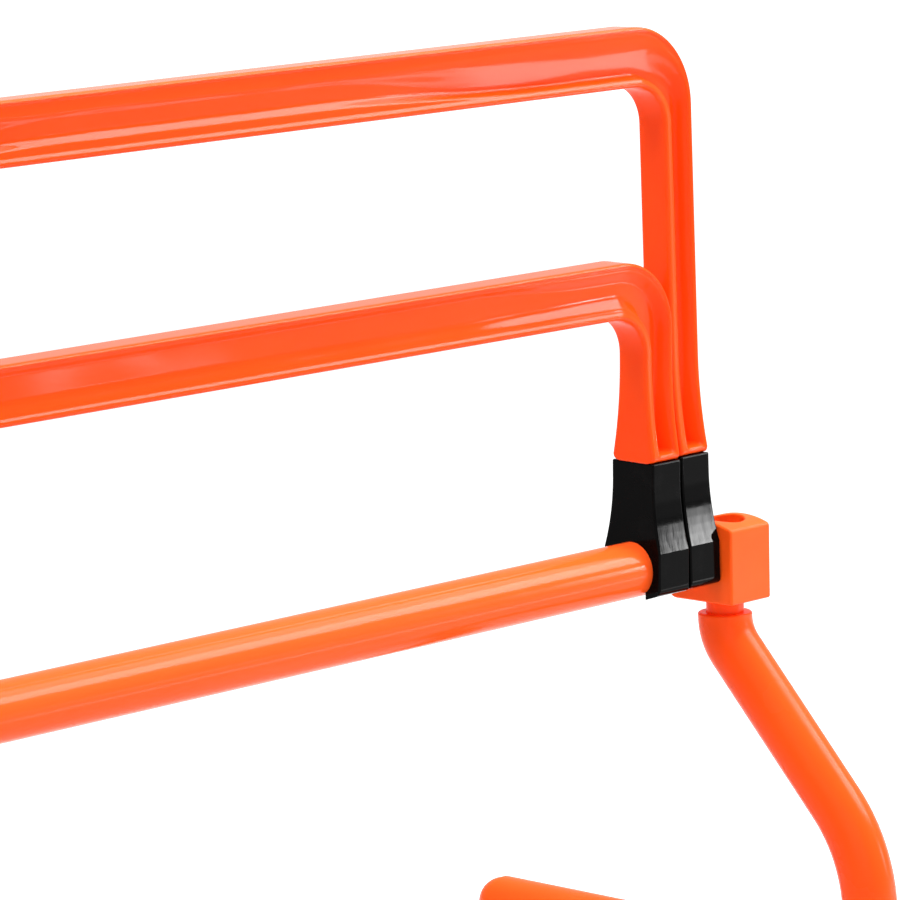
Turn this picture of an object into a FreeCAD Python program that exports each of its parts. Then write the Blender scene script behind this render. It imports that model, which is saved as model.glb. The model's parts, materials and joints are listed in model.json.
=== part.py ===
import FreeCAD, Part
import math
import os

# A folding training hurdle with three heights: a round bar and two U frames that turn on it.
# Millimetres. The origin is on the floor at the centre of the footprint, +X runs along the bar
# and +Z is up. The open side of the frame channels faces -Y.

# Bar
bar_diameter = 18.0
bar_wall = 2.0
bar_top_height = 150.0

# Corner blocks, which hold the legs at both ends of the bar
pivot_spacing = 460.0
pivot_offset = 4.5
block_width = 19.7
block_front_reach = 15.8
block_back_reach = 12.0
block_rise = 11.8
block_drop = 15.0
block_crown_radius = 31.0
block_nose_radius = 1.5
block_tail_radius = 6.0
block_heel_radius = 4.0
block_edge_fillet = 0.8
spigot_length = 46.0
spigot_gap = 0.1
spigot_wall = 3.0

# Leg pivots
pin_diameter = 12.4
running_gap = 0.05
thrust_gap = 0.1
pivot_web = 4.5
counterbore_diameter = 13.4
counterbore_depth = 8.5
counterbore_fillet = 0.5
neck_height = 4.4

# Legs
leg_diameter = 17.8
leg_wall = 2.6
upper_corner_drop = 7.5
upper_bend_share = 0.83
leg_rim_fillet = 0.7
slant_drop_share = 0.614
lower_bend_share = 0.97
leg_reach = 59.4
foot_bend_radius = 20.0
foot_back_reach = 101.2
sole_depth = 0.35
hollow_end_share = 0.25

# Foot plugs
plug_step = 0.4
plug_length = 12.0
plug_gap = 0.05

# Frames
mid_rail_rise = 91.4
mid_rail_height = 17.0
top_rail_rise = 164.4
top_rail_height = 18.3
mid_lean_deg = 0.9
top_lean_deg = -1.0
channel_depth = 11.8
channel_leg_width = 13.5
channel_lip = 2.6
channel_web = 4.0
mid_corner_radius = 23.0
top_corner_radius = 26.0
inner_corner_radius = 13.0
flare_start_rise = 67.0
frame_heel_radius = 2.0
lip_fillet = 0.8
recess_fillet = 2.8
tongue_width = 8.2
tongue_depth = 9.4
tongue_length = 15.0
tongue_gap = 0.1

# Clips
clip_top_rise = 34.9
clip_top_depth = 17.6
clip_shoulder_rise = 29.0
clip_hip_rise = 6.3
clip_ring_depth = 23.8
clip_ring_width = 14.7
clip_jaw_drop = 7.2
clip_tip_drop = 9.2
clip_mouth_width = 11.7
clip_spacing_gap = 0.6
clip_edge_fillet = 0.7
clip_rim_fillet = 0.5
clip_jaw_round = 2.0
flare_steps = 5

# Screws and washers
clip_screw_diameter = 3.0
clip_screw_length = 10.0
clip_screw_rise = 27.0
bar_screw_diameter = 3.0
bar_screw_length = 8.0
bar_screw_inset = 5.0
bar_screw_sink = 0.6
sunk_head_diameter = 5.6
sunk_head_height = 1.5
pivot_screw_diameter = 4.0
pivot_screw_length = 16.0
pivot_screw_gap = 0.3
pan_head_diameter = 8.0
pan_head_height = 2.4
pan_head_fillet = 0.9
washer_diameter = 12.0
washer_thickness = 1.0
cross_slot_length = 3.4
cross_slot_width = 0.8
cross_slot_depth = 0.9

# How far a cutting shape runs past the face it cuts, and how close two positions count as one
overrun = 2.0
match_gap = 0.08

bar_radius = bar_diameter / 2
leg_radius = leg_diameter / 2
pivot_x = pivot_spacing / 2
bar_z = bar_top_height - bar_radius
foot_z = leg_radius - sole_depth
dome_radius = leg_radius - plug_step
front_reach = pivot_offset + leg_reach + leg_radius
back_reach = foot_back_reach + dome_radius - pivot_offset
bar_y = (front_reach - back_reach) / 2
pivot_y = bar_y - pivot_offset
block_bottom_z = bar_z - block_drop
block_top_z = bar_z + block_rise
block_inner_x = pivot_x - block_width / 2
leg_top_z = block_bottom_z - neck_height
counterbore_floor_z = block_top_z - counterbore_depth
pin_top_z = counterbore_floor_z - pivot_web - thrust_gap
top_clip_x = block_inner_x - clip_spacing_gap - clip_ring_width / 2
mid_clip_x = top_clip_x - clip_ring_width - clip_spacing_gap
bore_radius = bar_radius - bar_wall
spigot_radius = bore_radius - spigot_gap
spigot_end_x = block_inner_x - spigot_length
bar_screw_x = spigot_end_x + bar_screw_inset
leg_bore_radius = leg_radius - leg_wall

X_AXIS = FreeCAD.Vector(1, 0, 0)
Y_AXIS = FreeCAD.Vector(0, 1, 0)
Z_AXIS = FreeCAD.Vector(0, 0, 1)
CENTRE = FreeCAD.Vector(0, 0, 0)


def point(x, y, z):
    return FreeCAD.Vector(x, y, z)


def box(x0, x1, y0, y1, z0, z1):
    return Part.makeBox(x1 - x0, y1 - y0, z1 - z0, point(x0, y0, z0))


def mirrored(shape):
    return shape.mirror(CENTRE, X_AXIS)


def arc_between(start, end, centre):
    """The short arc from start to end about a centre."""
    radius = (start - centre).Length
    middle = (start + end) / 2 - centre
    middle.normalize()
    return Part.Arc(start, centre + middle * radius, end).toShape()


def edges_where(shape, test):
    return [edge for edge in shape.Edges if test(edge)]


def all_points(edge, test):
    """True if the ends and the middle of an edge all pass a test."""
    first = edge.FirstParameter
    last = edge.LastParameter
    samples = [edge.valueAt(first), edge.valueAt((first + last) / 2), edge.valueAt(last)]
    return all(test(sample) for sample in samples)


def near(value, target):
    return abs(value - target) < match_gap


def set_on_bar(shape, lean_deg):
    """Lean a shape that was made about the bar's axis, and move it onto the bar."""
    shape.rotate(CENTRE, X_AXIS, lean_deg)
    shape.translate(point(0, bar_y, bar_z))
    return shape


def make_base_bar():
    length = block_inner_x * 2
    start = point(-block_inner_x, bar_y, bar_z)
    tube = Part.makeCylinder(bar_radius, length, start, X_AXIS)
    tube = tube.cut(Part.makeCylinder(bore_radius, length, start, X_AXIS))
    for side in (1, -1):
        tube = tube.cut(bar_screw_space(side * bar_screw_x))
    return tube


def bar_screw_head_y():
    return bar_y + bar_radius - bar_screw_sink


def bar_screw_space(x):
    """The hole and countersink for a screw that enters the bar from behind."""
    head = point(x, bar_screw_head_y(), bar_z)
    shank = Part.makeCylinder(bar_screw_diameter / 2, bar_screw_length, head, -Y_AXIS)
    entry = Part.makeCylinder(sunk_head_diameter / 2, overrun, head, Y_AXIS)
    return shank.fuse([sunk_head(head, bar_screw_diameter), entry])


def sunk_head(head, diameter):
    """The cone under a countersunk head that faces +Y."""
    return Part.makeCone(sunk_head_diameter / 2, diameter / 2, sunk_head_height, head, -Y_AXIS)


def cross_slot(head):
    """A cross recess in a head that faces +Y."""
    long_half = cross_slot_length / 2
    short_half = cross_slot_width / 2
    flat = box(-long_half, long_half, -cross_slot_depth, overrun, -short_half, short_half)
    upright = box(-short_half, short_half, -cross_slot_depth, overrun, -long_half, long_half)
    cross = flat.fuse(upright)
    cross.translate(head)
    return cross


def sunk_screw(head, diameter, length):
    """A countersunk screw whose head faces +Y and whose point ends in a cone."""
    point_length = diameter
    straight = length - point_length
    shank = Part.makeCylinder(diameter / 2, straight, head, -Y_AXIS)
    tip = Part.makeCone(diameter / 2, 0, point_length, head - Y_AXIS * straight, -Y_AXIS)
    screw = shank.fuse([tip, sunk_head(head, diameter)])
    return screw.removeSplitter().cut(cross_slot(head))


def make_bar_screw():
    head = point(bar_screw_x, bar_screw_head_y(), bar_z)
    return sunk_screw(head, bar_screw_diameter, bar_screw_length)


def crown_round(face_y, radius):
    """The rounding from an upright face into the crown: where it leaves each, and its centre."""
    hub = point(0, pivot_y, block_top_z - block_crown_radius)
    y = face_y - math.copysign(radius, face_y - pivot_y)
    rise = math.sqrt((block_crown_radius - radius) ** 2 - (y - pivot_y) ** 2)
    centre = point(0, y, hub.z + rise)
    spoke = centre - hub
    spoke.normalize()
    return point(0, face_y, centre.z), hub + spoke * block_crown_radius, centre


def block_profile():
    """Side view of the block: upright nose, crown arched over the pivot, flat underside."""
    front = bar_y - block_front_reach
    back = bar_y + block_back_reach
    nose_low, nose_high, nose_centre = crown_round(front, block_nose_radius)
    tail_low, tail_high, tail_centre = crown_round(back, block_tail_radius)
    heel_top = point(0, back, block_bottom_z + block_heel_radius)
    heel_front = point(0, back - block_heel_radius, block_bottom_z)
    heel_centre = point(0, back - block_heel_radius, block_bottom_z + block_heel_radius)
    toe = point(0, front, block_bottom_z)
    edges = [
        Part.makeLine(toe, nose_low),
        arc_between(nose_low, nose_high, nose_centre),
        Part.Arc(nose_high, point(0, pivot_y, block_top_z), tail_high).toShape(),
        arc_between(tail_high, tail_low, tail_centre),
        Part.makeLine(tail_low, heel_top),
        arc_between(heel_top, heel_front, heel_centre),
        Part.makeLine(heel_front, toe),
    ]
    return Part.Face(Part.Wire(edges))


def on_counterbore_rim(p):
    """True for a point on the edge between the crown and the wall of the counterbore."""
    across = math.hypot(p.x - pivot_x, p.y - pivot_y)
    return near(across, counterbore_diameter / 2) and p.z > counterbore_floor_z + match_gap


def make_corner_block():
    body = block_profile().extrude(X_AXIS * block_width)
    body.translate(X_AXIS * block_inner_x)
    body = body.makeFillet(block_edge_fillet, body.Edges)
    spigot_start = point(block_inner_x + block_edge_fillet, bar_y, bar_z)
    reach = spigot_length + block_edge_fillet
    body = body.fuse(Part.makeCylinder(spigot_radius, reach, spigot_start, -X_AXIS))
    spigot_end = point(spigot_end_x, bar_y, bar_z)
    body = body.cut(Part.makeCylinder(spigot_radius - spigot_wall, spigot_length, spigot_end, X_AXIS))
    pin_start = point(pivot_x, pivot_y, block_bottom_z)
    pin_room = pin_top_z + thrust_gap - block_bottom_z
    body = body.cut(Part.makeCylinder(pin_diameter / 2 + running_gap, pin_room, pin_start, Z_AXIS))
    screw_room = pivot_screw_diameter / 2 + pivot_screw_gap
    body = body.cut(Part.makeCylinder(screw_room, block_top_z - block_bottom_z, pin_start, Z_AXIS))
    floor = point(pivot_x, pivot_y, counterbore_floor_z)
    counterbore_radius = counterbore_diameter / 2
    body = body.cut(Part.makeCylinder(counterbore_radius, counterbore_depth, floor, Z_AXIS))
    rim = edges_where(body, lambda edge: all_points(edge, lambda p: on_counterbore_rim(p)))
    body = body.makeFillet(counterbore_fillet, rim)
    return body.cut(bar_screw_space(bar_screw_x)).removeSplitter()


def leg_corners():
    """Points along the leg's centre line, from the neck down and back along the foot."""
    lower_y = pivot_y - leg_reach
    foot_bend_z = foot_z + foot_bend_radius
    upper_corner_z = leg_top_z - upper_corner_drop
    slant_drop = (upper_corner_z - foot_z) * slant_drop_share
    lower_corner_z = upper_corner_z - slant_drop
    slant = math.atan2(leg_reach, slant_drop)
    upper_run = upper_corner_drop * upper_bend_share
    lower_run = (lower_corner_z - foot_bend_z) * lower_bend_share
    upper_radius = upper_run / math.tan(slant / 2)
    lower_radius = lower_run / math.tan(slant / 2)
    upper_start_z = upper_corner_z + upper_run
    lower_end_z = lower_corner_z - lower_run
    return {
        "top": point(pivot_x, pivot_y, leg_top_z),
        "upper_start": point(pivot_x, pivot_y, upper_start_z),
        "upper_centre": point(pivot_x, pivot_y - upper_radius, upper_start_z),
        "upper_end": point(pivot_x, pivot_y - upper_run * math.sin(slant),
                           upper_corner_z - upper_run * math.cos(slant)),
        "lower_start": point(pivot_x, lower_y + lower_run * math.sin(slant),
                             lower_corner_z + lower_run * math.cos(slant)),
        "lower_centre": point(pivot_x, lower_y + lower_radius, lower_end_z),
        "lower_end": point(pivot_x, lower_y, lower_end_z),
        "foot_bend_start": point(pivot_x, lower_y, foot_bend_z),
        "foot_centre": point(pivot_x, lower_y + foot_bend_radius, foot_bend_z),
        "foot_start": point(pivot_x, lower_y + foot_bend_radius, foot_z),
        "foot_end": point(pivot_x, pivot_y + foot_back_reach, foot_z),
    }


def lower_path(at, slant_start):
    """Edges from a point on the slanted stretch to the end of the foot."""
    return [
        Part.makeLine(slant_start, at["lower_start"]),
        arc_between(at["lower_start"], at["lower_end"], at["lower_centre"]),
        Part.makeLine(at["lower_end"], at["foot_bend_start"]),
        arc_between(at["foot_bend_start"], at["foot_start"], at["foot_centre"]),
        Part.makeLine(at["foot_start"], at["foot_end"]),
    ]


def swept_round(edges, start, direction, radius):
    """A round bar of one radius along a path of edges."""
    ring = Part.Wire(Part.makeCircle(radius, start, direction))
    return Part.Wire(edges).makePipeShell([ring], True, False)


def make_leg():
    at = leg_corners()
    upper = [
        Part.makeLine(at["top"], at["upper_start"]),
        arc_between(at["upper_start"], at["upper_end"], at["upper_centre"]),
    ]
    leg = swept_round(upper + lower_path(at, at["upper_end"]), at["top"], Z_AXIS, leg_radius)
    rim = edges_where(leg, lambda edge: all_points(edge, lambda p: near(p.z, leg_top_z)))
    leg = leg.makeFillet(leg_rim_fillet, rim)
    slant = at["lower_start"] - at["upper_end"]
    hollow_top = at["upper_end"] + slant * hollow_end_share
    leg = leg.cut(swept_round(lower_path(at, hollow_top), hollow_top, slant, leg_bore_radius))
    pin_length = pin_top_z - leg_top_z
    leg = leg.fuse(Part.makeCylinder(pin_diameter / 2, pin_length, at["top"], Z_AXIS))
    pin_top = point(pivot_x, pivot_y, pin_top_z)
    leg = leg.cut(Part.makeCylinder(pivot_screw_diameter / 2, pivot_screw_reach(), pin_top, -Z_AXIS))
    ground = box(
        pivot_x - leg_diameter, pivot_x + leg_diameter,
        bar_y - front_reach - overrun, bar_y + back_reach + overrun,
        -leg_diameter, 0,
    )
    return leg.cut(ground).removeSplitter()


def make_foot_plug():
    end = leg_corners()["foot_end"]
    dome = Part.makeSphere(dome_radius, end, Y_AXIS, 0, 90, 360)
    spigot = Part.makeCylinder(leg_bore_radius - plug_gap, plug_length, end, -Y_AXIS)
    return dome.fuse(spigot).removeSplitter()


def washer_z():
    return counterbore_floor_z + thrust_gap


def pivot_screw_reach():
    """How far the pivot screw goes down into the pin."""
    under_head = washer_z() + washer_thickness
    return pivot_screw_length - (under_head - pin_top_z)


def make_pivot_washer():
    floor = point(pivot_x, pivot_y, washer_z())
    disc = Part.makeCylinder(washer_diameter / 2, washer_thickness, floor, Z_AXIS)
    return disc.cut(Part.makeCylinder(pivot_screw_diameter / 2, washer_thickness, floor, Z_AXIS))


def make_pivot_screw():
    under_head_z = washer_z() + washer_thickness
    under_head = point(pivot_x, pivot_y, under_head_z)
    head = Part.makeCylinder(pan_head_diameter / 2, pan_head_height, under_head, Z_AXIS)
    head_top_z = under_head_z + pan_head_height
    rim = edges_where(head, lambda edge: all_points(edge, lambda p: near(p.z, head_top_z)))
    head = head.makeFillet(pan_head_fillet, rim)
    shank = Part.makeCylinder(pivot_screw_diameter / 2, pivot_screw_length, under_head, -Z_AXIS)
    screw = head.fuse(shank).removeSplitter()
    cross = cross_slot(CENTRE)
    cross.rotate(CENTRE, X_AXIS, 90)
    cross.translate(point(pivot_x, pivot_y, head_top_z))
    return screw.cut(cross)


def u_outline(half_width, top_z, bottom_z, leg_width, rail_width, outer_radius, inner_radius):
    """Front view of a U frame with rounded corners, open at the bottom."""
    inner = half_width - leg_width
    rail_z = top_z - rail_width
    outer_z = top_z - outer_radius
    inner_z = rail_z - inner_radius
    outer_x = half_width - outer_radius
    inner_x = inner - inner_radius
    edges = [
        Part.makeLine(point(-half_width, 0, bottom_z), point(-half_width, 0, outer_z)),
        arc_between(point(-half_width, 0, outer_z), point(-outer_x, 0, top_z),
                    point(-outer_x, 0, outer_z)),
        Part.makeLine(point(-outer_x, 0, top_z), point(outer_x, 0, top_z)),
        arc_between(point(outer_x, 0, top_z), point(half_width, 0, outer_z),
                    point(outer_x, 0, outer_z)),
        Part.makeLine(point(half_width, 0, outer_z), point(half_width, 0, bottom_z)),
        Part.makeLine(point(half_width, 0, bottom_z), point(inner, 0, bottom_z)),
        Part.makeLine(point(inner, 0, bottom_z), point(inner, 0, inner_z)),
        arc_between(point(inner, 0, inner_z), point(inner_x, 0, rail_z),
                    point(inner_x, 0, inner_z)),
        Part.makeLine(point(inner_x, 0, rail_z), point(-inner_x, 0, rail_z)),
        arc_between(point(-inner_x, 0, rail_z), point(-inner, 0, inner_z),
                    point(-inner_x, 0, inner_z)),
        Part.makeLine(point(-inner, 0, inner_z), point(-inner, 0, bottom_z)),
        Part.makeLine(point(-inner, 0, bottom_z), point(-half_width, 0, bottom_z)),
    ]
    return Part.Face(Part.Wire(edges))


def flare_edges(side):
    """One side of the frame's lower legs: they deepen in a long arc and are rounded at the heel."""
    slim = side * channel_depth / 2
    deep = side * clip_top_depth / 2
    heel_z = clip_top_rise + frame_heel_radius
    height = flare_start_rise - heel_z
    spread = (clip_top_depth - channel_depth) / 2
    radius = (height * height + spread * spread) / (spread * 2)
    start = point(0, slim, flare_start_rise)
    end = point(0, deep, heel_z)
    centre = point(0, slim + side * radius, flare_start_rise)
    slope = height / (radius - spread)
    tip = point(0, deep + side * frame_heel_radius * slope, clip_top_rise)
    heel = Part.BezierCurve()
    heel.setPoles([end, tip, point(0, deep - side * frame_heel_radius, clip_top_rise)])
    return [arc_between(start, end, centre), heel.toShape()]


def frame_side_profile(top):
    """Side view of a frame: straight above, deeper towards the clips below."""
    slim = channel_depth / 2
    heel = clip_top_depth / 2 - frame_heel_radius
    edges = flare_edges(1) + flare_edges(-1)
    edges += [
        Part.makeLine(point(0, -slim, flare_start_rise), point(0, -slim, top)),
        Part.makeLine(point(0, -slim, top), point(0, slim, top)),
        Part.makeLine(point(0, slim, top), point(0, slim, flare_start_rise)),
        Part.makeLine(point(0, heel, clip_top_rise), point(0, -heel, clip_top_rise)),
    ]
    return Part.Face(Part.Wire(Part.__sortEdges__(edges)))


def frame_recess(half_width, top, rail_height, corner_radius):
    """The groove along one face of a frame, as a solid whose floor edges are rounded."""
    outline = u_outline(half_width - channel_lip, top - channel_lip, clip_top_rise + channel_lip,
                        channel_leg_width - channel_lip * 2, rail_height - channel_lip * 2,
                        corner_radius - channel_lip, inner_corner_radius + channel_lip)
    floor = channel_web / 2
    outline.translate(Y_AXIS * floor)
    groove = outline.extrude(Y_AXIS * clip_top_depth)
    floor_edges = edges_where(groove, lambda edge: all_points(edge, lambda p: near(p.y, floor)))
    return groove.makeFillet(recess_fillet, floor_edges)


def make_frame(clip_x, rail_rise, rail_height, corner_radius, lean_deg):
    """A U frame with a groove front and back, built about the bar's axis and then set in place."""
    half_width = clip_x + channel_leg_width / 2
    top = rail_rise + rail_height / 2
    deep = clip_top_depth / 2 + overrun
    front_view = u_outline(half_width, top, clip_top_rise, channel_leg_width, rail_height,
                           corner_radius, inner_corner_radius)
    front_view.translate(Y_AXIS * -deep)
    body = front_view.extrude(Y_AXIS * deep * 2)
    side_view = frame_side_profile(top)
    side_view.translate(X_AXIS * -half_width)
    body = body.common(side_view.extrude(X_AXIS * half_width * 2))
    recess = frame_recess(half_width, top, rail_height, corner_radius)
    body = body.cut(recess)
    body = body.cut(recess.mirror(CENTRE, Y_AXIS)).removeSplitter()
    lips = edges_where(body, on_frame_lip)
    body = body.makeFillet(lip_fillet, lips)
    for side in (1, -1):
        body = body.fuse(frame_tongue(side * clip_x))
    for side in (1, -1):
        body = body.cut(clip_screw_space(side * clip_x))
    return set_on_bar(body.removeSplitter(), lean_deg)


def on_frame_lip(edge):
    """True for the long edges of a frame's lips, but not where the flare meets the straight parts."""
    outside = channel_depth / 2 - match_gap
    if not all_points(edge, lambda p: abs(p.y) > outside):
        return False
    heel_z = clip_top_rise + frame_heel_radius
    for rise in (clip_top_rise, heel_z, clip_top_rise + channel_lip, flare_start_rise):
        if all_points(edge, lambda p: near(p.z, rise)):
            return False
    return True


def frame_tongue(x):
    half = tongue_width / 2
    depth = tongue_depth / 2
    low = clip_top_rise - tongue_length
    return box(x - half, x + half, -depth, depth, low, clip_top_rise + channel_lip)


def clip_screw_space(x):
    """The hole and countersink for a clip screw, about the bar's axis."""
    head = point(x, clip_top_depth / 2, clip_screw_rise)
    shank = Part.makeCylinder(clip_screw_diameter / 2, clip_screw_length, head, -Y_AXIS)
    return shank.fuse(sunk_head(head, clip_screw_diameter))


def make_clip_screw(x, lean_deg):
    head = point(x, clip_top_depth / 2, clip_screw_rise)
    return set_on_bar(sunk_screw(head, clip_screw_diameter, clip_screw_length), lean_deg)


def clip_section(width, depth, rise):
    """A level section of a clip: a rectangle with rounded corners."""
    x = width / 2
    y = depth / 2
    inner_x = x - clip_edge_fillet
    inner_y = y - clip_edge_fillet
    corners = [(1, 1), (-1, 1), (-1, -1), (1, -1)]
    edges = []
    for number, (right, back) in enumerate(corners):
        centre = point(right * inner_x, back * inner_y, rise)
        on_side = point(right * x, back * inner_y, rise)
        on_back = point(right * inner_x, back * y, rise)
        turn = (on_side, on_back) if number % 2 == 0 else (on_back, on_side)
        edges.append(arc_between(turn[0], turn[1], centre))
        next_right, next_back = corners[(number + 1) % len(corners)]
        if number % 2 == 0:
            end = point(next_right * inner_x, next_back * y, rise)
        else:
            end = point(next_right * x, next_back * inner_y, rise)
        edges.append(Part.makeLine(turn[1], end))
    return Part.Wire(edges)


def clip_flare_section(share):
    """A section of the flare, which curves out from the neck and is steepest at the ring."""
    height = clip_shoulder_rise - clip_hip_rise
    spread = (clip_ring_depth - clip_top_depth) / 2
    radius = (height * height + spread * spread) / (spread * 2)
    drop = height * share
    out = (radius - math.sqrt(radius * radius - drop * drop)) / spread
    width = channel_leg_width + (clip_ring_width - channel_leg_width) * out
    depth = clip_top_depth + spread * 2 * out
    return clip_section(width, depth, clip_shoulder_rise - drop)


def jaw_edges(side):
    """The underside of one jaw in side view, from the ring's outside to the tip at the mouth."""
    outside = side * clip_ring_depth / 2
    mouth = side * clip_mouth_width / 2
    corner = point(0, outside, -clip_jaw_drop)
    tip = point(0, mouth, -clip_tip_drop)
    along = tip - corner
    along.normalize()
    upper = corner + Z_AXIS * clip_jaw_round
    lower = corner + along * clip_jaw_round
    curve = Part.BezierCurve()
    curve.setPoles([upper, corner, lower])
    return [curve.toShape(), Part.makeLine(lower, tip)]


def clip_mouth():
    """What is cut from the underside of a clip: the open mouth and the rounded ends of the jaws."""
    ring = clip_ring_depth / 2
    mouth = clip_mouth_width / 2
    high = clip_jaw_round - clip_jaw_drop
    low = -clip_tip_drop - overrun
    corners = [
        point(0, ring, high),
        point(0, ring + overrun, high),
        point(0, ring + overrun, low),
        point(0, -ring - overrun, low),
        point(0, -ring - overrun, high),
        point(0, -ring, high),
    ]
    roof = [
        point(0, -mouth, -clip_tip_drop),
        point(0, -mouth, 0),
        point(0, mouth, 0),
        point(0, mouth, -clip_tip_drop),
    ]
    edges = Part.makePolygon(corners).Edges + Part.makePolygon(roof).Edges + jaw_edges(1) + jaw_edges(-1)
    face = Part.Face(Part.Wire(Part.__sortEdges__(edges)))
    width = clip_ring_width + overrun * 2
    face.translate(X_AXIS * -width / 2)
    return face.extrude(X_AXIS * width)


def make_clip(x, lean_deg):
    """A snap clip: a square neck that holds the frame, on a deeper ring that is open below."""
    neck_length = clip_top_rise - clip_shoulder_rise
    neck = Part.Face(clip_flare_section(0)).extrude(Z_AXIS * neck_length)
    neck_rim = edges_where(neck, lambda edge: all_points(edge, lambda p: near(p.z, clip_top_rise)))
    neck = neck.makeFillet(clip_rim_fillet, neck_rim)
    flare_sections = [clip_flare_section(step / flare_steps) for step in range(flare_steps + 1)]
    flare = Part.makeLoft(flare_sections, True, False)
    ring = Part.Face(clip_flare_section(1)).extrude(Z_AXIS * (-clip_tip_drop - clip_hip_rise))
    body = neck.fuse([flare, ring.cut(clip_mouth())])
    bore_start = point(-clip_ring_width / 2 - overrun, 0, 0)
    bore_length = clip_ring_width + overrun * 2
    body = body.cut(Part.makeCylinder(bar_radius + running_gap, bore_length, bore_start, X_AXIS))
    half = tongue_width / 2 + tongue_gap
    depth = tongue_depth / 2 + tongue_gap
    floor = clip_top_rise - tongue_length - tongue_gap
    body = body.cut(box(-half, half, -depth, depth, floor, clip_top_rise + overrun))
    body = body.cut(clip_screw_space(0))
    body.translate(X_AXIS * x)
    return set_on_bar(body.removeSplitter(), lean_deg)


def both_sides(name, shape):
    return {name + "_right": shape, name + "_left": mirrored(shape)}


def all_nodes():
    nodes = {"base_bar": make_base_bar()}
    nodes.update(both_sides("corner_block", make_corner_block()))
    nodes.update(both_sides("bar_screw", make_bar_screw()))
    nodes.update(both_sides("leg", make_leg()))
    nodes.update(both_sides("foot_plug", make_foot_plug()))
    nodes.update(both_sides("pivot_screw", make_pivot_screw()))
    nodes.update(both_sides("pivot_washer", make_pivot_washer()))
    nodes["mid_frame"] = make_frame(mid_clip_x, mid_rail_rise, mid_rail_height,
                                    mid_corner_radius, mid_lean_deg)
    nodes.update(both_sides("mid_clip", make_clip(mid_clip_x, mid_lean_deg)))
    nodes.update(both_sides("mid_clip_screw", make_clip_screw(mid_clip_x, mid_lean_deg)))
    nodes["top_frame"] = make_frame(top_clip_x, top_rail_rise, top_rail_height,
                                    top_corner_radius, top_lean_deg)
    nodes.update(both_sides("top_clip", make_clip(top_clip_x, top_lean_deg)))
    nodes.update(both_sides("top_clip_screw", make_clip_screw(top_clip_x, top_lean_deg)))
    return nodes


os.makedirs("parts", exist_ok=True)
for node_name, node_shape in all_nodes().items():
    node_shape.exportStep("parts/" + node_name + ".step")
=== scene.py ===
import json
import math

import bmesh
import bpy
from mathutils import Matrix, Vector


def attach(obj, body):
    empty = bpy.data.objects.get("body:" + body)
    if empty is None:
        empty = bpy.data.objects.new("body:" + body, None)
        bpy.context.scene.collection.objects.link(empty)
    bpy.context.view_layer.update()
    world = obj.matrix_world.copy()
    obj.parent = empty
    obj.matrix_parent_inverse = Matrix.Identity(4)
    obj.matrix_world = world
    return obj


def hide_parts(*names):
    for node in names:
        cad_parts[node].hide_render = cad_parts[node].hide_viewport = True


# A folding training hurdle in moulded plastic: an orange bar on two legs, two orange U frames
# that turn on the bar, and the black clips that hold the frames. Metres, in the part's own frame.

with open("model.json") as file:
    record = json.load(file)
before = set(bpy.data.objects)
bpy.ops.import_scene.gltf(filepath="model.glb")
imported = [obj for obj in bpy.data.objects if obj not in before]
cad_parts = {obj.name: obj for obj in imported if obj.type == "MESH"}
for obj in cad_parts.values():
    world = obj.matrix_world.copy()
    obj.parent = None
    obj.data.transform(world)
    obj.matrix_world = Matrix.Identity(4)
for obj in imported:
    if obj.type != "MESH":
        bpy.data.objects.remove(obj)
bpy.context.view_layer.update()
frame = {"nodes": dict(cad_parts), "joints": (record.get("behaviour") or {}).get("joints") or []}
flip = [joint for joint in frame["joints"] if joint["name"] == "mid_frame_flip"][0]

# Camera, at the place and angle of the photograph
CAMERA_PLACE = Vector((-1.0805, -1.1412, 0.4600))
CAMERA_AZIMUTH_DEG = -46.53
CAMERA_ELEVATION_DEG = 9.34
CAMERA_ROLL_DEG = -1.27
CAMERA_LENS_MM = 215.43
CAMERA_SENSOR_MM = 36.0

# Grooves in the front and back of a frame: the width of the lip and of the slope beside it at the
# outer and at the inner edge, the thickness of the web between the two grooves, and how steeply
# each side of the web falls towards the inner edge
MID_SPAN = {"outer_lip": 0.0016, "outer_slope": 0.0022, "inner_lip": 0.0024, "inner_slope": 0.0052,
            "web": 0.0074, "tilt": 0.0}
MID_CORNER = {"outer_lip": 0.0018, "outer_slope": 0.0050, "inner_lip": 0.0026, "inner_slope": 0.0056,
              "web": 0.0060, "tilt": 0.0}
TOP_SPAN = {"outer_lip": 0.0048, "outer_slope": 0.0022, "inner_lip": 0.0044, "inner_slope": 0.0036,
            "web": 0.0084, "tilt": 0.17}
TOP_CORNER = {"outer_lip": 0.0024, "outer_slope": 0.0155, "inner_lip": 0.0024, "inner_slope": 0.0018,
              "web": 0.0028, "tilt": 0.0}
LEG_GROOVE = {"outer_lip": 0.0014, "outer_slope": 0.0036, "inner_lip": 0.0034, "inner_slope": 0.0010,
              "web": 0.0028, "tilt": 0.0}

# Frames: heights are over the bar's axis, "corner" is the outer corner's radius, and "reach" gives
# the distances from mid span between which the groove turns from its span to its corner sizes
BAR_AXIS = Vector(flip["pos_m"])
MID_FRAME = {"half_width": 0.20365, "top": 0.1002, "rail_height": 0.0178, "corner": 0.023,
             "lean_deg": 0.9, "span": MID_SPAN, "turn": MID_CORNER, "reach": (0.11, 0.17)}
TOP_FRAME = {"half_width": 0.21895, "top": 0.17355, "rail_height": 0.0190, "corner": 0.026,
             "lean_deg": -1.0, "span": TOP_SPAN, "turn": TOP_CORNER, "reach": (0.05, 0.15)}
FRAME_LEG_WIDTH = 0.0135
FRAME_INNER_CORNER = 0.013
FRAME_FOOT = 0.0349
FRAME_FLARE_START = 0.067
FRAME_SLIM = 0.0118
FRAME_DEEP = 0.0176
FRAME_HEEL = 0.0020
FRAME_EDGE = 0.0013
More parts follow.
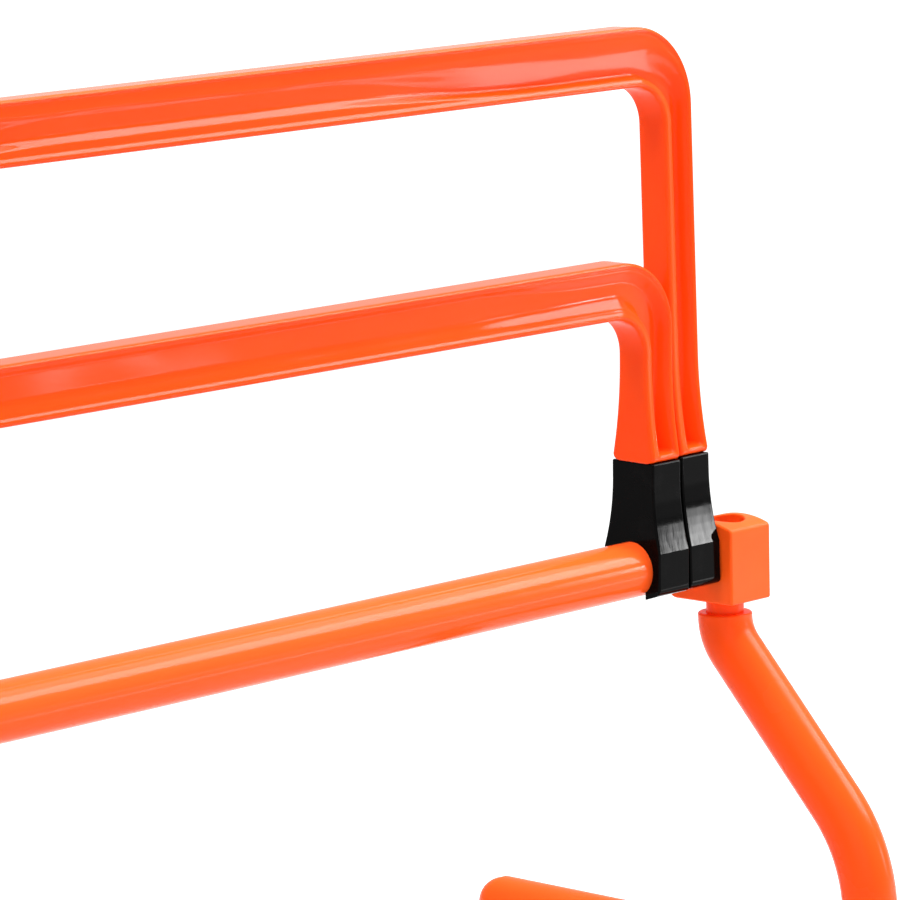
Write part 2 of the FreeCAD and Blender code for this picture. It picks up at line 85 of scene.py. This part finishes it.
SCOOP_END_SLOPE = 0.0014
SCOOP_END_LIP = 0.0022
RIM_START = 0.0012
RIM_SLOPE = 0.0018
RAIL_RIM_HEIGHT = 0.0007
LEG_RIM_HEIGHT = 0.00025

# Unevenness of the web: slope of its twist, height of its waves, and the sines that make up each one
# as radians per metre along the rail and upwards, phase and share
WEB_TWIST = 0.010
WEB_WAVE = 0.00006
TWIST_SINES = ((31.0, 40.0, 0.0, 1.0), (67.0, 25.0, 1.3, 0.7))
WAVE_SINES = ((83.0, 0.0, 0.6, 1.0), (139.0, 60.0, 0.0, 1.0))

# Fineness of the frames' skins
FACE_POINTS = 61
EDGE_POINTS = 6
LEG_STATIONS = 44
HEEL_STATIONS = 14
CORNER_STATIONS = 22
RAIL_STATIONS = 140

# Floor, with the glow that it shows from near the object to far from it
FLOOR_RADIUS = 14.0
FLOOR_SIDES = 96
FLOOR_COLOUR = (0.50, 0.50, 0.50, 1.0)
FLOOR_ROUGHNESS = 0.9
FLOOR_GLOW_REACH = (0.6, 3.0)
FLOOR_GLOW = (0.35, 1.0)

# Light: soft panels round the object, and small cards over the floor and a slim upright light that
# show in its gloss
WORLD_COLOUR = (0.47, 0.47, 0.48, 1.0)
SKY_COLOUR = (1.0, 1.0, 1.0, 1.0)
SKY_SEEN = 0.75
OVERHEAD = {"start": (-0.50, 0.03, 1.15), "end": (0.55, 0.03, 1.15), "breadth": 0.60, "power": 23.0}
KEY_LOWER = {"start": (1.38, -1.16, 1.08), "end": (1.38, -0.62, 1.46), "breadth": 0.90, "power": 28.0}
KEY_UPPER = {"start": (1.38, -0.60, 1.48), "end": (1.38, 0.30, 1.62), "breadth": 0.90, "power": 12.0}
FILL_LIGHT = {"start": (-2.9, -0.9, 1.2), "end": (-0.9, -2.7, 1.2), "breadth": 2.0, "power": 12.0}
CARD_RISE = 0.004
CORNER_CARD = {"start": (0.555, -0.21, CARD_RISE), "end": (0.665, -0.36, CARD_RISE),
               "breadth": 0.12, "power": 0.6}
RAIL_CARD = {"start": (0.15, -0.30, CARD_RISE), "end": (0.54, -0.30, CARD_RISE),
             "breadth": 0.08, "power": 0.4}
MID_CARD = {"start": (0.83, -0.99, CARD_RISE), "end": (0.91, -0.99, CARD_RISE),
            "breadth": 0.07, "power": 0.5}
CLIP_LIGHT_FOOT = Vector((1.581, -1.254, 0.20))
CLIP_LIGHT_HEAD = Vector((1.611, -1.221, 0.56))
CLIP_LIGHT_BREADTH = 0.05
CLIP_LIGHT_POWERS = (0.35, 0.55, 0.75, 0.95, 1.05)
UP = Vector((0.0, 0.0, 1.0))
LIGHT_TARGET = Vector((0.15, -0.02, 0.18))

# Orange plastic: linear colours, "stretch" draws the streaks out along an axis, "dull" is the lowest
# roughness and "wave" the strength of the slow waves in the skin
# The frame's colour is a darker copy of the same orange: painted shade, standing in for the shade of its
# grooves over the whole frame
FRAME_PLASTIC = {"stretch": (0.15, 1.0, 0.6), "colour": (0.96, 0.073, 0.005, 1.0),
                 "streak_colour": (0.95, 0.067, 0.004, 1.0), "dull": 0.08, "wave": 0.25}
BAR_PLASTIC = {"stretch": (0.08, 1.0, 1.0), "colour": (0.97, 0.108, 0.016, 1.0),
               "streak_colour": (0.96, 0.098, 0.013, 1.0), "dull": 0.10, "wave": 0.20}
LEG_PLASTIC = {"stretch": (1.0, 0.3, 0.3), "colour": (0.97, 0.080, 0.007, 1.0),
               "streak_colour": (0.96, 0.074, 0.006, 1.0), "dull": 0.20, "wave": 0.50}
BLOCK_PLASTIC = {"stretch": (1.0, 1.0, 1.0), "colour": (0.97, 0.100, 0.009, 1.0),
                 "streak_colour": (0.96, 0.092, 0.008, 1.0), "dull": 0.28, "wave": 0.40}
STREAK_SCALE = 60.0
STREAK_BEND = 0.4
STREAK_RANGE = (0.35, 0.65)
DULL_SCALE = 45.0
DULLEST_SHARE = 1.5
WAVE_SCALE = 22.0
WAVE_HEIGHT = 0.0012
GRAIN_SCALE = 900.0
GRAIN_STRENGTH = 0.10
GRAIN_HEIGHT = 0.00006
ORANGE_IOR = 1.49
ORANGE_GLOSS = 0.10
GLOW_WEIGHT = 0.05
GLOW_RADIUS = (1.0, 0.35, 0.10)
GLOW_DEPTH = 0.004

# Black plastic
BLACK = (0.0015, 0.0015, 0.0015, 1.0)
BLACK_WORN = (0.004, 0.004, 0.004, 1.0)
BLACK_ROUGHNESS = (0.05, 0.09)
BLACK_IOR = 1.50
BLACK_GLOSS = 0.04
WEAR_SCALE = 120.0
WEAR_RANGE = (0.55, 0.80)
DRAG_STRETCH = (1.0, 1.0, 0.08)
DRAG_SCALE = 600.0
DRAG_STRENGTH = 0.12
DRAG_HEIGHT = 0.00006

# Steel
STEEL = (0.62, 0.62, 0.64, 1.0)
STEEL_DULL = (0.46, 0.45, 0.44, 1.0)
STEEL_ROUGHNESS = (0.25, 0.45)
TARNISH_SCALE = 300.0
TARNISH_RANGE = (0.40, 0.65)
TURNING_STRETCH = (1.0, 1.0, 12.0)
TURNING_SCALE = 500.0
TURNING_STRENGTH = 0.25
TURNING_HEIGHT = 0.00004

# The range that most noise lies in, and the whole range of a share
NOISE_RANGE = (0.3, 0.7)
WHOLE_RANGE = (0.0, 1.0)


def new_material(name):
    """An empty node material with its output and one shader."""
    material = bpy.data.materials.new(name)
    material.use_nodes = True
    nodes = material.node_tree.nodes
    nodes.clear()
    output = nodes.new("ShaderNodeOutputMaterial")
    shader = nodes.new("ShaderNodeBsdfPrincipled")
    material.node_tree.links.new(shader.outputs["BSDF"], output.inputs["Surface"])
    return material, shader


def add_node(material, kind, **settings):
    """A new node in a material, with its settings."""
    node = material.node_tree.nodes.new(kind)
    for name, value in settings.items():
        setattr(node, name, value)
    return node


def link(material, source, target):
    """Join one node's output to another's input."""
    material.node_tree.links.new(source, target)


def object_place(material, stretch=(1.0, 1.0, 1.0)):
    """Places on the object in metres, stretched along its axes."""
    place = add_node(material, "ShaderNodeTexCoord")
    scale = add_node(material, "ShaderNodeMapping")
    scale.inputs["Scale"].default_value = stretch
    link(material, place.outputs["Object"], scale.inputs["Vector"])
    return scale.outputs["Vector"]


def noise(material, place, scale, detail, distortion=0.0):
    """Cloudy noise over places, from about 0 to 1."""
    node = add_node(material, "ShaderNodeTexNoise")
    node.inputs["Scale"].default_value = scale
    node.inputs["Detail"].default_value = detail
    node.inputs["Distortion"].default_value = distortion
    link(material, place, node.inputs["Vector"])
    return node.outputs["Fac"]


def spread(material, value, source, target):
    """Map a value from one range to another, held within the second."""
    node = add_node(material, "ShaderNodeMapRange")
    node.inputs["From Min"].default_value = source[0]
    node.inputs["From Max"].default_value = source[1]
    node.inputs["To Min"].default_value = target[0]
    node.inputs["To Max"].default_value = target[1]
    link(material, value, node.inputs["Value"])
    return node.outputs["Result"]


def mixed_colour(material, share, first, second):
    """The first colour where the share is 0, turning to the second where it is 1."""
    node = add_node(material, "ShaderNodeMix", data_type="RGBA")
    colours = [socket for socket in node.inputs if socket.type == "RGBA"]
    colours[0].default_value = first
    colours[1].default_value = second
    link(material, share, node.inputs["Factor"])
    return [socket for socket in node.outputs if socket.type == "RGBA"][0]


def bump(material, height, strength, distance, normal=None):
    """The surface's normal with fine relief added to it."""
    node = add_node(material, "ShaderNodeBump")
    node.inputs["Strength"].default_value = strength
    node.inputs["Distance"].default_value = distance
    link(material, height, node.inputs["Height"])
    if normal is not None:
        link(material, normal, node.inputs["Normal"])
    return node.outputs["Normal"]


def orange_plastic(name, stretch, colour, streak_colour, dull, wave):
    """Moulded orange with slow waves in its skin, fine grain and faint flow streaks."""
    material, shader = new_material(name)
    place = object_place(material)
    flow = object_place(material, stretch)
    streaks = noise(material, flow, STREAK_SCALE, detail=4.0, distortion=STREAK_BEND)
    share = spread(material, streaks, STREAK_RANGE, WHOLE_RANGE)
    link(material, mixed_colour(material, share, colour, streak_colour), shader.inputs["Base Color"])
    patches = noise(material, place, DULL_SCALE, detail=4.0)
    roughness = spread(material, patches, NOISE_RANGE, (dull, dull * DULLEST_SHARE))
    link(material, roughness, shader.inputs["Roughness"])
    waves = noise(material, flow, WAVE_SCALE, detail=1.0)
    grain = noise(material, place, GRAIN_SCALE, detail=2.0)
    normal = bump(material, waves, wave, WAVE_HEIGHT)
    normal = bump(material, grain, GRAIN_STRENGTH, GRAIN_HEIGHT, normal)
    link(material, normal, shader.inputs["Normal"])
    shader.inputs["IOR"].default_value = ORANGE_IOR
    shader.inputs["Specular IOR Level"].default_value = ORANGE_GLOSS
    shader.inputs["Subsurface Weight"].default_value = GLOW_WEIGHT
    shader.inputs["Subsurface Radius"].default_value = GLOW_RADIUS
    shader.inputs["Subsurface Scale"].default_value = GLOW_DEPTH
    return material


def black_plastic():
    """Moulded black with a soft gloss, faint upright drag marks and a little wear."""
    material, shader = new_material("black_moulded")
    place = object_place(material)
    drag = object_place(material, DRAG_STRETCH)
    streaks = noise(material, drag, DRAG_SCALE, detail=2.0)
    patches = noise(material, place, WEAR_SCALE, detail=4.0)
    share = spread(material, patches, WEAR_RANGE, WHOLE_RANGE)
    link(material, mixed_colour(material, share, BLACK, BLACK_WORN), shader.inputs["Base Color"])
    link(material, spread(material, streaks, NOISE_RANGE, BLACK_ROUGHNESS), shader.inputs["Roughness"])
    link(material, bump(material, streaks, DRAG_STRENGTH, DRAG_HEIGHT), shader.inputs["Normal"])
    shader.inputs["IOR"].default_value = BLACK_IOR
    shader.inputs["Specular IOR Level"].default_value = BLACK_GLOSS
    return material


def screw_steel():
    """Zinc plated steel with turning marks and dull patches."""
    material, shader = new_material("zinc_plated_steel")
    patches = noise(material, object_place(material), TARNISH_SCALE, detail=5.0)
    share = spread(material, patches, TARNISH_RANGE, WHOLE_RANGE)
    link(material, mixed_colour(material, share, STEEL, STEEL_DULL), shader.inputs["Base Color"])
    link(material, spread(material, patches, NOISE_RANGE, STEEL_ROUGHNESS), shader.inputs["Roughness"])
    marks = noise(material, object_place(material, TURNING_STRETCH), TURNING_SCALE, detail=2.0)
    link(material, bump(material, marks, TURNING_STRENGTH, TURNING_HEIGHT), shader.inputs["Normal"])
    shader.inputs["Metallic"].default_value = 1.0
    return material


def ease(value):
    """A smooth rise from 0 to 1."""
    held = min(max(value, 0.0), 1.0)
    return held * held * (3.0 - 2.0 * held)


def frame_half_depth(rise):
    """Half the depth of a frame at a height over the bar: slim above, flared and rounded at the foot."""
    if rise >= FRAME_FLARE_START:
        return FRAME_SLIM / 2
    heel_top = FRAME_FOOT + FRAME_HEEL
    spread_out = (FRAME_DEEP - FRAME_SLIM) / 2
    height = FRAME_FLARE_START - heel_top
    radius = (height ** 2 + spread_out ** 2) / (2 * spread_out)
    if rise >= heel_top:
        drop = FRAME_FLARE_START - rise
        return FRAME_SLIM / 2 + radius - math.sqrt(radius ** 2 - drop ** 2)
    below = (heel_top - rise) / FRAME_HEEL
    return FRAME_DEEP / 2 - FRAME_HEEL * (1.0 - math.sqrt(max(0.0, 1.0 - below ** 2)))


def frame_stations(shape):
    """Along a frame, from the left foot over the rail to the right foot: pairs of inner and outer points
    and how far the section is that of the rail."""
    half = shape["half_width"]
    top = shape["top"]
    corner = shape["corner"]
    inner_half = half - FRAME_LEG_WIDTH
    rail_under = top - shape["rail_height"]
    outer_centre = (half - corner, top - corner)
    inner_centre = (inner_half - FRAME_INNER_CORNER, rail_under - FRAME_INNER_CORNER)
    scoop_start = FRAME_FOOT + FRAME_HEEL + SCOOP_END_LIP + SCOOP_END_SLOPE
    side = []
    for step in range(HEEL_STATIONS):
        rise = FRAME_FOOT + (scoop_start - FRAME_FOOT) * step / HEEL_STATIONS
        side.append(((inner_half, rise), (half, rise), 0.0))
    for step in range(LEG_STATIONS):
        share = step / LEG_STATIONS
        inner_rise = scoop_start + (inner_centre[1] - scoop_start) * share
        outer_rise = scoop_start + (outer_centre[1] - scoop_start) * share
        side.append(((inner_half, inner_rise), (half, outer_rise), 0.0))
    for step in range(CORNER_STATIONS + 1):
        angle = math.pi / 2 * step / CORNER_STATIONS
        inner = (inner_centre[0] + FRAME_INNER_CORNER * math.cos(angle),
                 inner_centre[1] + FRAME_INNER_CORNER * math.sin(angle))
        outer = (outer_centre[0] + corner * math.cos(angle),
                 outer_centre[1] + corner * math.sin(angle))
        side.append((inner, outer, ease(step / CORNER_STATIONS)))
    rail = []
    for step in range(1, RAIL_STATIONS):
        share = 2.0 * step / RAIL_STATIONS - 1.0
        rail.append(((inner_centre[0] * share, rail_under), (outer_centre[0] * share, top), 1.0))
    left = [((-inner[0], inner[1]), (-outer[0], outer[1]), share) for inner, outer, share in side]
    return left + rail + side[::-1]


def groove_at(x, rail_share, shape):
    """The sizes of the groove at a place along a frame: on a rail they change from mid span
    to the corners, and round a corner from the rail to the leg."""
    near, far = shape["reach"]
    turning = ease((abs(x) - near) / (far - near))
    sizes = {}
    for name, leg_size in LEG_GROOVE.items():
        rail_size = shape["span"][name] + (shape["turn"][name] - shape["span"][name]) * turning
        sizes[name] = leg_size + (rail_size - leg_size) * rail_share
    return sizes


def summed_sines(sines, x, rise):
    """The sum of some sine waves at a place along a frame and a height."""
    total = 0.0
    for along, upward, phase, share in sines:
        total += share * math.sin(x * along + rise * upward + phase)
    return total


def web_wave(x, rise, across):
    """How far the floor of the groove is off flat: slow waves and a slight twist from the mould."""
    twist = summed_sines(TWIST_SINES, x, rise)
    wave = summed_sines(WAVE_SINES, x, rise)
    return across * WEB_TWIST * twist + WEB_WAVE * wave


def rounded_edge(corner, across, inward, side):
    """A point on a side face of a frame and the rounding from there to its front or back,
    without the rounding's last point."""
    deep = frame_half_depth(corner.z)
    points = [corner + Vector((0.0, side * (deep - 2 * FRAME_EDGE), 0.0))]
    for step in range(EDGE_POINTS):
        angle = math.pi / 2 * step / EDGE_POINTS
        place = corner + across * inward * FRAME_EDGE * (1.0 - math.cos(angle))
        deep = frame_half_depth(place.z) - FRAME_EDGE * (1.0 - math.sin(angle))
        points.append(place + Vector((0.0, side * deep, 0.0)))
    return points


def frame_ring(inner, outer, rail_share, shape):
    """Points round the section of a frame between an inner and an outer point, with a scooped groove
    in the front and in the back and a slim rim along the inner edge."""
    inner = Vector((inner[0], 0.0, inner[1]))
    outer = Vector((outer[0], 0.0, outer[1]))
    width = (outer - inner).length
    across = (outer - inner).normalized()
    groove = groove_at((inner.x + outer.x) / 2, rail_share, shape)
    rim_height = LEG_RIM_HEIGHT + (RAIL_RIM_HEIGHT - LEG_RIM_HEIGHT) * rail_share
    ring = []
    for side in (-1, 1):
        face = []
        for step in range(FACE_POINTS):
            u = FRAME_EDGE + (width - 2 * FRAME_EDGE) * step / (FACE_POINTS - 1)
            place = inner + across * u
            inner_rise = ease((u - groove["inner_lip"]) / groove["inner_slope"])
            outer_rise = ease((width - u - groove["outer_lip"]) / groove["outer_slope"])
            end_rise = ease((place.z - FRAME_FOOT - SCOOP_END_LIP) / SCOOP_END_SLOPE)
            past_rim = ease((u - RIM_START) / RIM_SLOPE) * ease((width - u) / RIM_SLOPE)
            lip = frame_half_depth(place.z) - rim_height * past_rim
            off_centre = u - width / 2
            floor = groove["web"] / 2 + groove["tilt"] * off_centre
            floor += web_wave(place.x, place.z, off_centre)
            y = lip + (floor - lip) * inner_rise * outer_rise * end_rise
            face.append(place + Vector((0.0, side * y, 0.0)))
        first = rounded_edge(inner, across, 1, side)
        last = rounded_edge(outer, across, -1, side)
        half_ring = first + face + last[::-1]
        ring += half_ring if side < 0 else half_ring[::-1]
    return ring


def skin_faces(rows, count):
    """Faces of a closed skin over rows of points, with a cap at each end as the last two."""
    faces = []
    for row in range(rows - 1):
        for column in range(count):
            following = (column + 1) % count
            faces.append((row * count + column, row * count + following,
                          (row + 1) * count + following, (row + 1) * count + column))
    last = (rows - 1) * count
    faces.append(tuple(range(count))[::-1])
    faces.append(tuple(last + column for column in range(count)))
    return faces


def build_frame(name, shape):
    """One U frame as a single closed skin, set on the bar with its slight lean."""
    stations = frame_stations(shape)
    rings = [frame_ring(inner, outer, share, shape) for inner, outer, share in stations]
    points = [point for ring in rings for point in ring]
    mesh = bpy.data.meshes.new(name)
    mesh.from_pydata(points, [], skin_faces(len(rings), len(rings[0])))
    mesh.transform(Matrix.Rotation(math.radians(shape["lean_deg"]), 4, "X"))
    mesh.transform(Matrix.Translation(BAR_AXIS))
    mesh.polygons.foreach_set("use_smooth", [True] * len(mesh.polygons))
    for cap in mesh.polygons[-2:]:
        cap.use_smooth = False
    outward = bmesh.new()
    outward.from_mesh(mesh)
    bmesh.ops.recalc_face_normals(outward, faces=outward.faces)
    outward.to_mesh(mesh)
    outward.free()
    piece = bpy.data.objects.new(name, mesh)
    bpy.context.scene.collection.objects.link(piece)
    return piece


def build_frames(material):
    """The skins of both frames, in place of their plain solids."""
    for name, shape in (("mid_frame", MID_FRAME), ("top_frame", TOP_FRAME)):
        piece = build_frame(name + "_skin", shape)
        piece.data.materials.append(material)
        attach(piece, name + "_body")
        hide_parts(name)


def dress(names, material):
    """Give CAD nodes a material."""
    for name in names:
        for slot in frame["nodes"][name].material_slots:
            slot.material = material


def sided(*stems):
    """The names of the left and the right piece for each stem."""
    return [stem + side for stem in stems for side in ("_left", "_right")]


def dress_nodes():
    """All pieces of the hurdle in their plastics and steel."""
    build_frames(orange_plastic("orange_frame", **FRAME_PLASTIC))
    dress(["base_bar"], orange_plastic("orange_bar", **BAR_PLASTIC))
    dress(sided("leg", "foot_plug"), orange_plastic("orange_leg", **LEG_PLASTIC))
    dress(sided("corner_block"), orange_plastic("orange_block", **BLOCK_PLASTIC))
    dress(sided("mid_clip", "top_clip"), black_plastic())
    screws = sided("bar_screw", "pivot_screw", "pivot_washer", "mid_clip_screw", "top_clip_screw")
    dress(screws, screw_steel())


def seen_rays(tree):
    """1 for rays from the camera, straight or by way of a gloss or a clear body, and 0 for the rest."""
    path = tree.nodes.new("ShaderNodeLightPath")
    seen = path.outputs["Is Camera Ray"]
    for other in ("Is Glossy Ray", "Is Transmission Ray"):
        either = tree.nodes.new("ShaderNodeMath")
        either.operation = "MAXIMUM"
        tree.links.new(seen, either.inputs[0])
        tree.links.new(path.outputs[other], either.inputs[1])
        seen = either.outputs["Value"]
    return seen


def floor_material():
    """A pale floor that keeps soft shadows and shows white to the eye and in reflections."""
    material, shader = new_material("studio_floor")
    output = [node for node in material.node_tree.nodes if node.type == "OUTPUT_MATERIAL"][0]
    shader.inputs["Base Color"].default_value = FLOOR_COLOUR
    shader.inputs["Roughness"].default_value = FLOOR_ROUGHNESS
    shader.inputs["Specular IOR Level"].default_value = 0.0
    away = add_node(material, "ShaderNodeVectorMath", operation="LENGTH")
    link(material, object_place(material), away.inputs[0])
    level = spread(material, away.outputs["Value"], FLOOR_GLOW_REACH, FLOOR_GLOW)
    glow = add_node(material, "ShaderNodeMath", operation="MULTIPLY")
    link(material, seen_rays(material.node_tree), glow.inputs[0])
    link(material, level, glow.inputs[1])
    light = add_node(material, "ShaderNodeEmission")
    link(material, glow.outputs["Value"], light.inputs["Strength"])
    both = add_node(material, "ShaderNodeAddShader")
    link(material, shader.outputs["BSDF"], both.inputs[0])
    link(material, light.outputs["Emission"], both.inputs[1])
    link(material, both.outputs["Shader"], output.inputs["Surface"])
    return material


def add_floor():
    """A wide round floor under the object."""
    bpy.ops.mesh.primitive_circle_add(vertices=FLOOR_SIDES, radius=FLOOR_RADIUS, fill_type="NGON")
    floor = bpy.context.object
    floor.name = "floor"
    floor.data.materials.append(floor_material())


def add_world():
    """An even sky, paler where it is seen than in the light it gives."""
    world = bpy.data.worlds.new("studio")
    world.use_nodes = True
    tree = world.node_tree
    lit = tree.nodes["Background"]
    lit.inputs["Color"].default_value = WORLD_COLOUR
    shown = tree.nodes.new("ShaderNodeBackground")
    shown.inputs["Strength"].default_value = SKY_SEEN
    shown.inputs["Color"].default_value = SKY_COLOUR
    either = tree.nodes.new("ShaderNodeMixShader")
    tree.links.new(seen_rays(tree), either.inputs["Fac"])
    tree.links.new(lit.outputs["Background"], either.inputs[1])
    tree.links.new(shown.outputs["Background"], either.inputs[2])
    tree.links.new(either.outputs["Shader"], tree.nodes["World Output"].inputs["Surface"])
    bpy.context.scene.world = world


def add_strip(name, start, end, breadth, power, facing=None):
    """A rectangular soft light along a line, turned to face the object or a given way."""
    start = Vector(start)
    end = Vector(end)
    along = (end - start).normalized()
    centre = (start + end) / 2
    back = centre - LIGHT_TARGET if facing is None else -facing
    back = (back - along * back.dot(along)).normalized()
    light = bpy.data.lights.new(name, "AREA")
    light.shape = "RECTANGLE"
    light.size = (end - start).length
    light.size_y = breadth
    light.energy = power
    lamp = bpy.data.objects.new(name, light)
    turn = Matrix((along, back.cross(along), back)).transposed()
    lamp.matrix_world = Matrix.Translation(centre) @ turn.to_4x4()
    lamp.visible_camera = False
    bpy.context.scene.collection.objects.link(lamp)


def add_clip_light():
    """A slim upright light in short stretches, brighter towards its head."""
    count = len(CLIP_LIGHT_POWERS)
    for step, power in enumerate(CLIP_LIGHT_POWERS):
        start = CLIP_LIGHT_FOOT.lerp(CLIP_LIGHT_HEAD, step / count)
        end = CLIP_LIGHT_FOOT.lerp(CLIP_LIGHT_HEAD, (step + 1) / count)
        add_strip("clip_light_%d" % (step + 1), start, end, CLIP_LIGHT_BREADTH, power)


def add_lights():
    """All lights of the studio."""
    add_strip("overhead", **OVERHEAD)
    add_strip("key_lower", **KEY_LOWER)
    add_strip("key_upper", **KEY_UPPER)
    add_strip("corner_card", **CORNER_CARD, facing=UP)
    add_strip("rail_card", **RAIL_CARD, facing=UP)
    add_strip("mid_card", **MID_CARD, facing=UP)
    add_clip_light()
    add_strip("fill_light", **FILL_LIGHT)


def add_camera():
    """The camera, turned to its azimuth, elevation and roll."""
    azimuth = math.radians(CAMERA_AZIMUTH_DEG)
    elevation = math.radians(CAMERA_ELEVATION_DEG)
    back = Vector((math.sin(azimuth) * math.cos(elevation),
                   -math.cos(azimuth) * math.cos(elevation),
                   math.sin(elevation)))
    right = Vector((math.cos(azimuth), math.sin(azimuth), 0.0))
    up = back.cross(right)
    turn = Matrix((right, up, back)).transposed()
    roll = Matrix.Rotation(math.radians(CAMERA_ROLL_DEG), 3, "Z")
    camera_data = bpy.data.cameras.new("camera")
    camera_data.lens = CAMERA_LENS_MM
    camera_data.sensor_width = CAMERA_SENSOR_MM
    camera = bpy.data.objects.new("camera", camera_data)
    camera.matrix_world = Matrix.Translation(CAMERA_PLACE) @ (turn @ roll).to_4x4()
    bpy.context.scene.collection.objects.link(camera)
    bpy.context.scene.camera = camera


dress_nodes()
add_floor()
add_world()
add_lights()
add_camera()
bpy.context.scene.view_settings.view_transform = "Standard"
